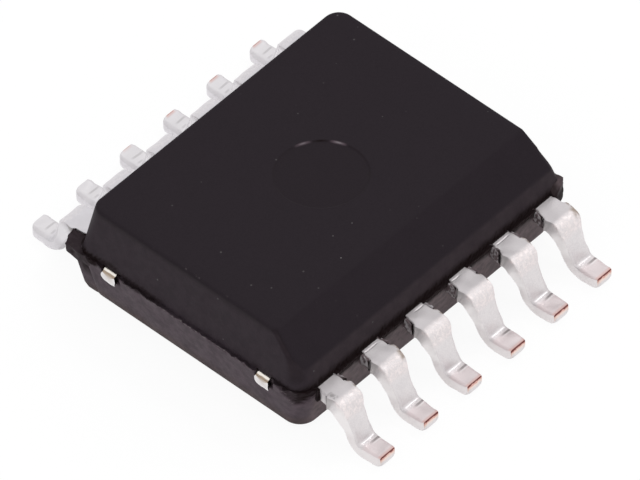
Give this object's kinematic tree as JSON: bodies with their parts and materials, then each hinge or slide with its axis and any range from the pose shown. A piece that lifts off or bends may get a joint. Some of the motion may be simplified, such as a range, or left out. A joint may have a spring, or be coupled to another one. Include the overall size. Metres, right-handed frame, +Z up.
{
  "type": "integrated circuit",
  "caption": "Black moulded small-outline chip package for surface mounting, with gull-wing leads along both long sides, a bevelled long edge and a metal die paddle underneath.",
  "frame": {"origin": "middle of the board plane, on which the feet of the leads rest", "axes": "+X across the two rows of leads, towards the first row and the bevelled edge; +Y along the rows; +Z up, away from the board"},
  "size_m": [0.006, 0.005, 0.0016],
  "materials": {
    "mould_compound": "fine matte",
    "tin_plate": "matte tin",
    "die_bond": "dull",
    "silicon": "polished",
    "bond_wire": "bright"
  },
  "bodies": {
    "root": {"moulded_body": "mould_compound", "exposed_pad": "tin_plate", "die_attach": "die_bond", "die": "silicon", "lead_1": "tin_plate", "lead_2": "tin_plate", "lead_3": "tin_plate", "lead_4": "tin_plate", "lead_5": "tin_plate", "lead_6": "tin_plate", "lead_7": "tin_plate", "lead_8": "tin_plate", "lead_9": "tin_plate", "lead_10": "tin_plate", "lead_11": "tin_plate", "lead_12": "tin_plate", "bond_wire_1": "bond_wire", "bond_wire_2": "bond_wire", "bond_wire_3": "bond_wire", "bond_wire_4": "bond_wire", "bond_wire_5": "bond_wire", "bond_wire_6": "bond_wire", "bond_wire_7": "bond_wire", "bond_wire_8": "bond_wire", "bond_wire_9": "bond_wire", "bond_wire_10": "bond_wire", "bond_wire_11": "bond_wire", "bond_wire_12": "bond_wire"}
  },
  "joints": []
}
